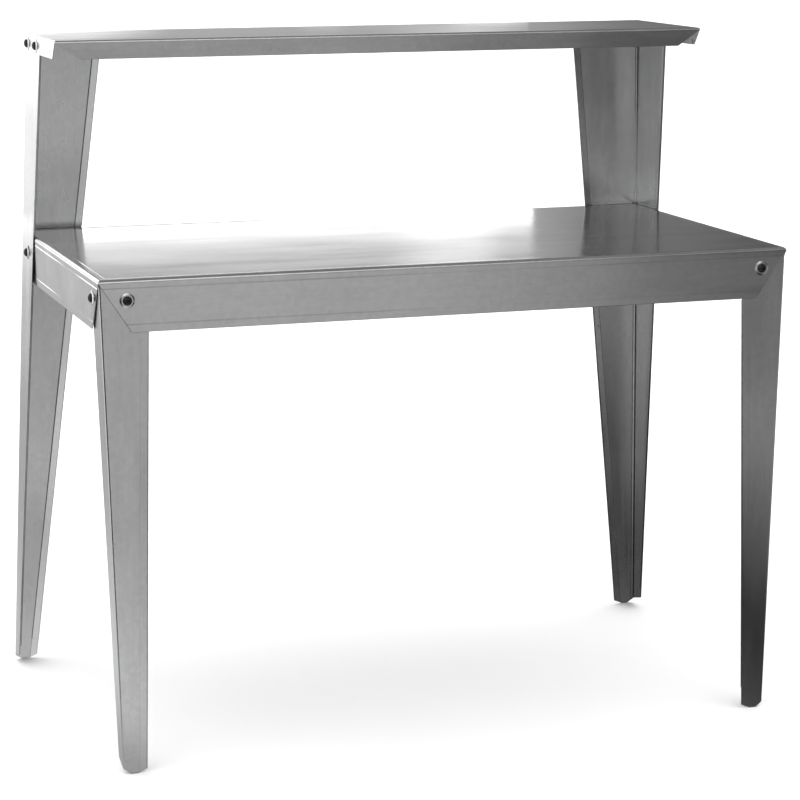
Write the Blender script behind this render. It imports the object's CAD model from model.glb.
import math

import bpy
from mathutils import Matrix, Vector


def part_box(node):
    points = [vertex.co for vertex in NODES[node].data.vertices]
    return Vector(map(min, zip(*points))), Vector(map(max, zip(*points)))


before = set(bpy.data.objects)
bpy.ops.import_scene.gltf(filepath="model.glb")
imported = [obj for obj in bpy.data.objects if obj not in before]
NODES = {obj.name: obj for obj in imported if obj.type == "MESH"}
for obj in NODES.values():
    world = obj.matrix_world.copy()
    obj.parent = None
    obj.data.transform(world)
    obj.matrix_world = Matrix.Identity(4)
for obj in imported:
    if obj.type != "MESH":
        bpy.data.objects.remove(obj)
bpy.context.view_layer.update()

# ---------------------------------------------------------------- the frame's planes and edges

TOP_LOW, TOP_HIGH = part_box("work_top")

# Metres: the hems' width, the top's bend radius, the feet's height and where a leg's edge ends.
HEM = 0.012
BEND = 0.006
FOOT = 0.036
LEG_HEM_TOP = TOP_LOW.z - 0.002

# How far the shallow line beside a bend lies from it, and half the widths of the lines.
MARGIN = 0.0075
STEP_HALF_WIDTH = 0.0014
HEM_LINE_HALF_WIDTH = 0.0011
EDGE_LINE_HALF_WIDTH = 0.0024

# How far a mesh vertex may lie from the height asked for.
LEVEL_TOLERANCE = 0.0015


def flange_plane(node, axis, inset, low, high):
    """Plane that runs beside a leg flange's free edge, inset from it: normal and point.

    axis is 0 for the flange that runs along X and 1 for the one along Y. The free edge is
    the one nearer the bench's middle, and it is straight between the two heights.
    """
    box_low, box_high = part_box(node)
    away = 1.0 if box_low[axis] + box_high[axis] > 0 else -1.0
    spots = []
    for level in (low, high):
        vertices = NODES[node].data.vertices
        near = [v.co[axis] * away for v in vertices if abs(v.co.z - level) < LEVEL_TOLERANCE]
        spots.append((min(near) * away, level))
    (edge_low, z_low), (edge_high, z_high) = spots
    normal = [0.0, 0.0, edge_low - edge_high]
    normal[axis] = z_high - z_low
    through = [0.0, 0.0, z_low]
    through[axis] = edge_low + away * inset
    return tuple(normal), tuple(through)


# ---------------------------------------------------------------- small node-graph helpers


class Graph:
    """Adds nodes to a node tree; sockets and numbers may be mixed freely."""

    def __init__(self, tree):
        self.tree = tree

    def node(self, kind, **settings):
        made = self.tree.nodes.new(kind)
        for key, value in settings.items():
            setattr(made, key, value)
        return made

    def feed(self, socket, value):
        if isinstance(value, bpy.types.NodeSocket):
            self.tree.links.new(value, socket)
        else:
            socket.default_value = value

    def math(self, operation, *values):
        made = self.node("ShaderNodeMath", operation=operation)
        for socket, value in zip(made.inputs, values):
            self.feed(socket, value)
        return made.outputs[0]

    def total(self, first, *others):
        for other in others:
            first = self.math("ADD", first, other)
        return first

    def product(self, first, *others):
        for other in others:
            first = self.math("MULTIPLY", first, other)
        return first

    def largest(self, first, *others):
        for other in others:
            first = self.math("MAXIMUM", first, other)
        return first

    def remap(self, value, low, high, to_low=0.0, to_high=1.0):
        made = self.node("ShaderNodeMapRange", interpolation_type="SMOOTHSTEP")
        self.feed(made.inputs["Value"], value)
        made.inputs["From Min"].default_value = low
        made.inputs["From Max"].default_value = high
        made.inputs["To Min"].default_value = to_low
        made.inputs["To Max"].default_value = to_high
        return made.outputs["Result"]

    def scaled(self, vector, scale):
        made = self.node("ShaderNodeMapping")
        self.feed(made.inputs["Vector"], vector)
        made.inputs["Scale"].default_value = scale
        return made.outputs["Vector"]

    def noise(self, vector, scale, detail=2.0, roughness=0.5):
        made = self.node("ShaderNodeTexNoise")
        self.feed(made.inputs["Vector"], vector)
        made.inputs["Scale"].default_value = scale
        made.inputs["Detail"].default_value = detail
        made.inputs["Roughness"].default_value = roughness
        return made.outputs["Fac"]

    def cells(self, vector, scale):
        made = self.node("ShaderNodeTexVoronoi", feature="F1")
        self.feed(made.inputs["Vector"], vector)
        made.inputs["Scale"].default_value = scale
        return made

    def ramp(self, value, stops):
        made = self.node("ShaderNodeValToRGB")
        self.feed(made.inputs["Fac"], value)
        ramp = made.color_ramp
        while len(ramp.elements) < len(stops):
            ramp.elements.new(0.5)
        for element, (position, colour) in zip(ramp.elements, stops):
            element.position = position
            element.color = (*colour, 1.0)
        return made.outputs["Color"]

    def dot(self, vector, direction):
        made = self.node("ShaderNodeVectorMath", operation="DOT_PRODUCT")
        self.feed(made.inputs[0], vector)
        made.inputs[1].default_value = direction
        return made.outputs["Value"]

    def past(self, position, normal, through):
        """Signed distance of a position from the plane through a point."""
        normal = Vector(normal).normalized()
        return self.math("SUBTRACT", self.dot(position, normal), normal.dot(Vector(through)))

    def band(self, distance, half_width):
        """1 at distance 0, falling to 0 at half_width metres to either side."""
        return self.remap(self.math("ABSOLUTE", distance), half_width, 0.0)


# ---------------------------------------------------------------- materials


def new_material(name):
    material = bpy.data.materials.new(name)
    material.use_nodes = True
    tree = material.node_tree
    tree.nodes.clear()
    graph = Graph(tree)
    shader = graph.node("ShaderNodeBsdfPrincipled")
    out = graph.node("ShaderNodeOutputMaterial")
    tree.links.new(shader.outputs["BSDF"], out.inputs["Surface"])
    position = graph.node("ShaderNodeTexCoord").outputs["Object"]
    return material, graph, shader, position


MILLIMETRE = 0.001
EDGE_ROUNDING = 0.0014
GRIME_REACH = 0.005

# The dark line at the top's rear edge: half its width, and where it has faded out.
RIM_CORE = 0.014
RIM_FADE = 0.021

# Range of the sheet's roughness.
SMOOTHEST = 0.20
ROUGHEST = 0.29


def galvanised(name, grain, steps=(), pressed=(), strips=(), ring=None, smooth=0.0):
    """Smooth hot-dip galvanised sheet.

    grain: stretch of the rolling marks along the sheet.
    steps: heights where the sheet stands out a little below a hem's or bend's line, each as
        (level, half width).
    pressed: dark lines beside a hem or along a free edge, each as (normal, point, half
        width, depth from 0 to 1).
    strips: hems of another tone, each as (normal, point, tone).
    ring: a shallow step around the top face, as (half sizes, centre, height, half width,
        distance from it to the start of the bend).
    smooth: how much less rough this sheet is than the others.
    """
    material, g, shader, position = new_material(name)
    long_way = g.scaled(position, grain)
    streaks = g.noise(long_way, 22.0, 3.0, 0.55)
    fine = g.noise(long_way, 170.0, 2.0, 0.5)
    clouds = g.noise(position, 4.5, 2.0, 0.5)
    spangle = g.cells(position, 120.0)
    facet = g.math("FRACT", g.dot(spangle.outputs["Color"], (1.0, 1.7, 2.3)))
    spot = g.cells(position, 24.0)
    speck = g.product(
        g.remap(spot.outputs["Distance"], 0.055, 0.025),
        g.remap(g.noise(position, 13.0, 1.0), 0.60, 0.66),
    )

    broken = g.remap(g.noise(position, 24.0, 2.0), 0.28, 0.60, 0.45, 1.0)
    uneven = g.remap(g.noise(position, 2.6, 1.0), 0.42, 0.60, 0.30, 1.0)
    split = g.node("ShaderNodeSeparateXYZ")
    g.feed(split.inputs[0], position)
    x, y, z = split.outputs
    step = 0.0
    for level, half_width in steps:
        above = g.math("SUBTRACT", z, level)
        step = g.total(step, g.product(g.remap(above, half_width, -half_width, 0.0, 1.7), uneven))
    rim = 0.0
    if ring:
        (half_x, half_y), (centre_x, centre_y), level, half_width, margin = ring
        beside = g.math("SUBTRACT", g.math("ABSOLUTE", g.math("SUBTRACT", x, centre_x)), half_x)
        before = g.math("SUBTRACT", g.math("ABSOLUTE", g.math("SUBTRACT", y, centre_y)), half_y)
        outside = g.largest(beside, before)
        on_top = g.math("GREATER_THAN", z, level)
        step = g.total(step, g.product(g.remap(outside, -half_width, half_width), on_top))
        behind = g.math("SUBTRACT", y, centre_y + half_y + margin)
        rear_edge = g.remap(g.math("ABSOLUTE", behind), RIM_FADE, RIM_CORE)
        rim = g.product(rear_edge, on_top, broken, g.remap(x, 0.0, -0.30))
    groove = 0.0
    for normal, through, half_width, depth in pressed:
        line = g.band(g.past(position, normal, through), half_width)
        groove = g.largest(groove, g.product(line, depth))
    shift = 0.0
    for normal, through, tone_shift in strips:
        beyond = g.past(position, normal, through)
        shift = g.total(shift, g.remap(beyond, 0.0, MILLIMETRE, 0.0, tone_shift))

    crevice = g.node("ShaderNodeAmbientOcclusion", samples=6)
    crevice.inputs["Distance"].default_value = GRIME_REACH
    grime = g.remap(crevice.outputs["AO"], 0.80, 0.35, 0.0, 1.0)

    rounded = g.node("ShaderNodeBevel", samples=4)
    rounded.inputs["Radius"].default_value = EDGE_ROUNDING
    agreement = g.node("ShaderNodeVectorMath", operation="DOT_PRODUCT")
    g.feed(agreement.inputs[0], rounded.outputs["Normal"])
    g.feed(agreement.inputs[1], g.node("ShaderNodeNewGeometry").outputs["Normal"])
    sharp = g.remap(agreement.outputs["Value"], 0.985, 0.86)

    tone = g.total(
        g.product(streaks, 0.26),
        g.product(clouds, 0.30),
        g.product(fine, 0.10),
        g.product(facet, 0.05),
        shift,
        0.14,
    )
    dark = g.total(
        g.product(speck, 0.30),
        g.product(groove, 0.30),
        g.product(grime, 0.34),
        g.product(rim, 0.80),
        g.product(sharp, 0.24),
    )
    colour = g.ramp(g.math("SUBTRACT", tone, dark), [
        (0.02, (0.10, 0.10, 0.102)),
        (0.30, (0.52, 0.522, 0.525)),
        (0.42, (0.66, 0.662, 0.665)),
        (0.60, (0.80, 0.802, 0.805)),
        (0.80, (0.97, 0.972, 0.975)),
    ])
    g.feed(shader.inputs["Base Color"], colour)
    shader.inputs["Metallic"].default_value = 1.0
    blotches = g.total(g.product(streaks, 0.6), g.product(clouds, 0.4))
    rough = g.remap(blotches, 0.32, 0.68, SMOOTHEST - smooth, ROUGHEST - smooth)
    g.feed(shader.inputs["Roughness"], g.total(rough, g.product(speck, 0.3), g.product(grime, 0.2)))

    # Heights are in millimetres: slow waves of the sheet, rolling marks, and the lines.
    height = g.total(
        g.product(g.noise(position, 3.1, 1.0), 1.3),
        g.product(streaks, 0.010),
        g.product(facet, 0.0015),
        g.product(step, 0.22),
        g.product(groove, -0.12),
    )
    bump = g.node("ShaderNodeBump")
    bump.inputs["Strength"].default_value = 1.0
    bump.inputs["Distance"].default_value = MILLIMETRE
    g.feed(bump.inputs["Height"], height)
    g.feed(bump.inputs["Normal"], rounded.outputs["Normal"])
    g.feed(shader.inputs["Normal"], bump.outputs["Normal"])
    return material


FINE_BUMP = 0.0002


def black_oxide():
    """Black screw head: satin, a little worn and dusty."""
    material, g, shader, position = new_material("black_screw_finish")
    mottled = g.noise(position, 420.0, 4.0, 0.6)
    worn = g.remap(g.noise(position, 900.0, 3.0), 0.58, 0.72)
    tone = g.total(g.product(mottled, 0.6), g.product(worn, 0.4))
    g.feed(shader.inputs["Base Color"], g.ramp(tone, [
        (0.20, (0.008, 0.008, 0.009)),
        (0.45, (0.018, 0.018, 0.019)),
        (0.90, (0.09, 0.09, 0.092)),
    ]))
    shader.inputs["Metallic"].default_value = 0.35
    g.feed(shader.inputs["Roughness"], g.remap(mottled, 0.3, 0.7, 0.34, 0.52))
    bump = g.node("ShaderNodeBump")
    bump.inputs["Strength"].default_value = 0.35
    bump.inputs["Distance"].default_value = FINE_BUMP
    g.feed(bump.inputs["Height"], mottled)
    g.feed(shader.inputs["Normal"], bump.outputs["Normal"])
    return material


def bright_zinc(name, low, high):
    """Zinc-plated washers and nuts: bright, finely mottled."""
    material, g, shader, position = new_material(name)
    mottled = g.noise(position, 300.0, 4.0, 0.6)
    scuffs = g.noise(g.scaled(position, (1.0, 1.0, 6.0)), 500.0, 2.0)
    tone = g.total(g.product(mottled, 0.6), g.product(scuffs, 0.4))
    g.feed(shader.inputs["Base Color"], g.ramp(tone, [(0.3, low), (0.7, high)]))
    shader.inputs["Metallic"].default_value = 1.0
    g.feed(shader.inputs["Roughness"], g.remap(mottled, 0.3, 0.7, 0.14, 0.26))
    bump = g.node("ShaderNodeBump")
    bump.inputs["Strength"].default_value = 0.4
    bump.inputs["Distance"].default_value = FINE_BUMP
    g.feed(bump.inputs["Height"], scuffs)
    g.feed(shader.inputs["Normal"], bump.outputs["Normal"])
    return material


def dress(node, material):
    """Puts a finish on every material slot of a CAD node."""
    for slot in NODES[node].material_slots:
        slot.material = material


# Stretch of the rolling marks: along the tops, and up the legs.
ACROSS = (0.12, 1.0, 1.0)
UPRIGHT = (1.0, 1.0, 0.12)

top_centre = (TOP_LOW + TOP_HIGH) / 2
top_half = (TOP_HIGH - TOP_LOW) / 2
top_steps = [
    (TOP_LOW.z + HEM, STEP_HALF_WIDTH),
    (TOP_HIGH.z - BEND - MARGIN, STEP_HALF_WIDTH),
]
top_ring = (
    (top_half.x - BEND - MARGIN, top_half.y - BEND - MARGIN),
    (top_centre.x, top_centre.y),
    TOP_HIGH.z - 0.0005,
    STEP_HALF_WIDTH,
    MARGIN,
)
dress("work_top", galvanised("work_top_sheet", ACROSS, top_steps, ring=top_ring, smooth=0.08))
dress("upper_shelf", galvanised("upper_shelf_sheet", ACROSS, smooth=0.03))

FRONT_HEM_DEPTH = 0.25
LEFT_STRIP_TONE = 0.30
RIGHT_STRIP_TONE = -0.08

for upright in ("front_left_leg", "front_right_leg", "rear_left_post", "rear_right_post"):
    pressed = []
    hem_depth = FRONT_HEM_DEPTH if upright.startswith("front") else 1.0
    lines = ((HEM, HEM_LINE_HALF_WIDTH, hem_depth), (0.0, EDGE_LINE_HALF_WIDTH, 1.0))
    for axis in (0, 1):
        for inset, half_width, depth in lines:
            normal, through = flange_plane(upright, axis, inset, FOOT, LEG_HEM_TOP)
            pressed.append((normal, through, half_width, depth))
    strips = []
    if upright == "rear_left_post":
        strips.append((*flange_plane(upright, 0, HEM, FOOT, LEG_HEM_TOP), LEFT_STRIP_TONE))
    if upright == "rear_right_post":
        normal, through = flange_plane(upright, 0, HEM, FOOT, LEG_HEM_TOP)
        strips.append((tuple(-part for part in normal), through, RIGHT_STRIP_TONE))
    dress(upright, galvanised(upright + "_sheet", UPRIGHT, pressed=pressed, strips=strips))

screw_finish = black_oxide()
washer_finish = bright_zinc("zinc_washer_finish", (0.55, 0.555, 0.56), (0.80, 0.805, 0.81))
nut_finish = bright_zinc("zinc_nut_finish", (0.50, 0.505, 0.51), (0.74, 0.745, 0.75))
for corner in ("front_left", "front_right", "rear_left", "rear_right", "shelf_left", "shelf_right"):
    dress(corner + "_screws", screw_finish)
    dress(corner + "_washers", washer_finish)
    dress(corner + "_nuts", nut_finish)

# ---------------------------------------------------------------- floor


def plain(name, colour, roughness):
    material, g, shader, position = new_material(name)
    cloud = g.noise(position, 3.0, 2.0)
    low = tuple(0.985 * c for c in colour)
    g.feed(shader.inputs["Base Color"], g.ramp(cloud, [(0.3, low), (0.7, colour)]))
    shader.inputs["Roughness"].default_value = roughness
    return material


def add_plane(name, corners, material):
    mesh = bpy.data.meshes.new(name)
    mesh.from_pydata(corners, [], [tuple(range(len(corners)))])
    made = bpy.data.objects.new(name, mesh)
    bpy.context.scene.collection.objects.link(made)
    made.data.materials.append(material)
    return made


REACH = 30.0


def ground(name, level, material):
    corners = [
        (-REACH, -REACH, level),
        (REACH, -REACH, level),
        (REACH, REACH, level),
        (-REACH, REACH, level),
    ]
    return add_plane(name, corners, material)


floor = ground("studio_floor", 0.0, plain("pale_floor", (0.93, 0.93, 0.93), 0.9))
floor.visible_glossy = False

# ---------------------------------------------------------------- light


def glow(name, brightness):
    """Emitting material; brightness is a number or a function of the graph and position."""
    material = bpy.data.materials.new(name)
    material.use_nodes = True
    tree = material.node_tree
    tree.nodes.clear()
    g = Graph(tree)
    emission = g.node("ShaderNodeEmission")
    if callable(brightness):
        split = g.node("ShaderNodeSeparateXYZ")
        g.feed(split.inputs[0], g.node("ShaderNodeTexCoord").outputs["Object"])
        g.feed(emission.inputs["Strength"], brightness(g, *split.outputs))
    else:
        emission.inputs["Strength"].default_value = brightness
    out = g.node("ShaderNodeOutputMaterial")
    tree.links.new(emission.outputs[0], out.inputs["Surface"])
    return material


def only_in_reflections(panel):
    panel.visible_camera = False
    panel.visible_diffuse = False
    panel.visible_transmission = False
    panel.visible_shadow = False


def upright_panel(name, y, x_low, x_high, z_low, z_high, brightness):
    """Panel in front of or behind the bench."""
    corners = [(x_low, y, z_low), (x_high, y, z_low), (x_high, y, z_high), (x_low, y, z_high)]
    only_in_reflections(add_plane(name, corners, glow(name + "_glow", brightness)))


def side_panel(name, x, y_low, y_high, z_low, z_high, brightness):
    """Panel beside the bench."""
    corners = [(x, y_low, z_low), (x, y_high, z_low), (x, y_high, z_high), (x, y_low, z_high)]
    only_in_reflections(add_plane(name, corners, glow(name + "_glow", brightness)))


def floor_seen_in_metal(g, x, y, z):
    """The floor as the steel mirrors it: lit from the rear left, dark on the right."""
    sideways = g.remap(x, -0.30, 0.75, 0.46, 0.02)
    right_front = g.product(g.remap(x, 0.9, 1.45), g.remap(y, -1.8, -2.4, 0.24, 0.42))
    left_strip = g.product(
        g.remap(x, -0.2, -0.5),
        g.remap(x, -0.9, -0.7),
        g.remap(y, -0.35, -0.65),
        0.28,
    )
    shaded = g.product(g.remap(x, -0.65, -0.85), g.remap(y, -0.25, -0.5), 0.36)
    rear_left = g.product(
        g.remap(x, -0.45, -0.75),
        g.total(
            g.product(g.remap(y, -0.3, 0.1), g.remap(y, 1.9, 0.2), 0.24),
            g.product(g.remap(y, -0.3, 0.1), g.remap(y, 0.7, 0.2), 0.12),
            g.product(g.remap(y, 2.8, 3.6), 0.10),
            g.product(g.remap(y, 5.8, 7.2), 1.2),
        ),
    )
    rear_right_near = g.product(
        g.remap(g.total(x, g.product(y, 0.43)), 0.50, 0.57),
        g.remap(y, -2.0, -1.4),
        0.05,
    )
    rear_middle = g.product(
        g.remap(x, -0.1, 0.1),
        g.remap(y, 0.3, 0.5),
        g.remap(y, 1.6, 1.2),
        0.15,
    )
    lit = g.total(sideways, right_front, left_strip, rear_left, rear_right_near, rear_middle)
    return g.math("MAXIMUM", g.math("SUBTRACT", lit, shaded), 0.02)


def front_card(g, x, y, z):
    """Large soft card in front of the bench, fading out upwards and to both sides."""
    card = g.product(g.remap(x, 0.55, 1.95, 0.50, 0.10), g.remap(z, 0.35, 0.9, 1.0, 0.74))
    left_strip = g.product(g.remap(x, -0.2, -0.5), g.remap(z, 0.5, 0.2), 0.28)
    left_end = g.product(g.remap(x, -0.75, -1.05), g.remap(z, 1.1, 0.9), 0.92)
    return g.product(g.total(card, left_strip), g.math("SUBTRACT", 1.0, left_end))


def rear_reflector(g, x, y, z):
    """Bright card behind the bench with a dimmer top, brightest towards the right."""
    right = g.product(g.remap(x, 0.30, 0.46), g.remap(x, 0.61, 0.52), 0.30)
    return g.total(g.remap(z, 0.925, 0.87, 0.42, 2.3), right)


def rear_left_reflector(g, x, y, z):
    """Bright card behind the bench's left end, brightest in its upper part."""
    return g.remap(z, 0.90, 1.0, 1.1, 1.7)


def shelf_reflector(g, x, y, z):
    """Low strip behind the upper shelf, bright at its left and in two spots low down."""
    left = g.product(g.remap(x, -0.25, -0.50), g.remap(z, 1.127, 1.107), 2.5)
    wide = g.remap(g.math("ABSOLUTE", g.math("SUBTRACT", x, 0.32)), 0.10, 0.02, 0.0, 1.0)
    narrow = g.remap(g.math("ABSOLUTE", g.math("SUBTRACT", x, 0.01)), 0.06, 0.01, 0.0, 0.35)
    spots = g.product(g.total(wide, narrow), g.remap(z, 1.116, 1.106))
    return g.total(left, spots, g.remap(x, 0.05, 0.25, 0.50, 0.60))


def studio_world():
    """Pale room behind and to the left, darker on the right and overhead."""
    world = bpy.data.worlds.new("studio")
    world.use_nodes = True
    tree = world.node_tree
    tree.nodes.clear()
    g = Graph(tree)
    split = g.node("ShaderNodeSeparateXYZ")
    tree.links.new(g.node("ShaderNodeTexCoord").outputs["Generated"], split.inputs[0])
    x, y, z = split.outputs
    to_degrees = 180.0 / math.pi
    azimuth = g.product(g.math("ARCTAN2", x, y), to_degrees)
    height = g.product(g.math("ARCSINE", z), to_degrees)

    rear = g.total(g.remap(azimuth, 19.0, 23.5, 0.62, 0.18), g.remap(azimuth, 24.0, 26.5, 0.0, -0.07))
    front = g.remap(azimuth, 172.0, 140.0, 0.48, 0.12)
    left_front = g.remap(azimuth, -100.0, -170.0, 0.62, 0.48)
    is_front = g.remap(g.math("ABSOLUTE", azimuth), 85.0, 110.0)
    is_left = g.math("LESS_THAN", azimuth, 0.0)
    not_left = g.math("SUBTRACT", 1.0, is_left)
    front = g.total(g.product(front, not_left), g.product(left_front, is_left))
    low = g.total(g.product(front, is_front), g.product(rear, g.math("SUBTRACT", 1.0, is_front)))
    towards_left = g.largest(is_left, g.remap(azimuth, 151.0, 164.0, 0.08, 1.0))
    soft_box = g.product(
        g.remap(height, 17.0, 24.0),
        g.remap(height, 46.0, 38.0),
        is_front,
        towards_left,
    )
    overhead = g.remap(height, 40.0, 58.0)
    strength = g.total(
        g.product(low, g.math("SUBTRACT", 1.0, overhead)),
        g.product(overhead, 0.22),
        soft_box,
    )

    lit = g.node("ShaderNodeBackground")
    tree.links.new(strength, lit.inputs["Strength"])
    lit.inputs["Color"].default_value = (1.0, 1.0, 1.0, 1.0)
    seen = g.node("ShaderNodeBackground")
    seen.inputs["Color"].default_value = (1.0, 1.0, 1.0, 1.0)
    seen.inputs["Strength"].default_value = 1.0
    mixed = g.node("ShaderNodeMixShader")
    path = g.node("ShaderNodeLightPath")
    tree.links.new(path.outputs["Is Camera Ray"], mixed.inputs[0])
    tree.links.new(lit.outputs[0], mixed.inputs[1])
    tree.links.new(seen.outputs[0], mixed.inputs[2])
    out = g.node("ShaderNodeOutputWorld")
    tree.links.new(mixed.outputs[0], out.inputs["Surface"])
    bpy.context.scene.world = world


studio_world()

# A broad light from above whitens the floor; the steel does not mirror it.
BROAD_LIGHT_ENERGY = 3.8
BROAD_LIGHT_SPREAD = math.radians(100.0)

sky_data = bpy.data.lights.new("broad_light", "SUN")
sky_data.energy = BROAD_LIGHT_ENERGY
sky_data.angle = BROAD_LIGHT_SPREAD
sky = bpy.data.objects.new("broad_light", sky_data)
bpy.context.scene.collection.objects.link(sky)
sky.visible_glossy = False

# Where the panels stand: in front, behind, left, and close behind the upper shelf.
FRONT_Y = -2.8
REAR_Y = 1.05
LEFT_X = -1.6
SHELF_Y = 0.42
JUST_UNDER = -0.002

mirrored_glow = glow("mirrored_floor_glow", floor_seen_in_metal)
only_in_reflections(ground("mirrored_floor", JUST_UNDER, mirrored_glow))
upright_panel("front_card", FRONT_Y, -4.0, 4.0, 0.0, 1.9, front_card)
upright_panel("rear_reflector", REAR_Y, -0.42, 0.655, 0.80, 1.4, rear_reflector)
upright_panel("rear_left_reflector", REAR_Y, -1.5, -0.42, 0.70, 1.35, rear_left_reflector)
upright_panel("shelf_reflector", SHELF_Y, -0.66, 0.40, 1.09, 1.135, shelf_reflector)
side_panel("left_reflector", LEFT_X, 0.0, 1.2, 0.0, 1.5, 1.5)
side_panel("left_flag", LEFT_X, -2.8, -0.15, 0.0, 1.0, 0.03)

# ---------------------------------------------------------------- camera

camera_data = bpy.data.cameras.new("camera")
camera = bpy.data.objects.new("camera", camera_data)
bpy.context.scene.collection.objects.link(camera)
camera.location = (-1.33232, -4.10965, 1.34374)
camera.rotation_euler = (math.pi / 2 - 0.19538, 0.00171, -0.31719)
camera_data.sensor_width = 36.0
camera_data.lens = 118.71
camera_data.clip_end = 200.0
bpy.context.scene.camera = camera

bpy.context.scene.view_settings.view_transform = "Standard"
bpy.context.scene.cycles.use_denoising = True
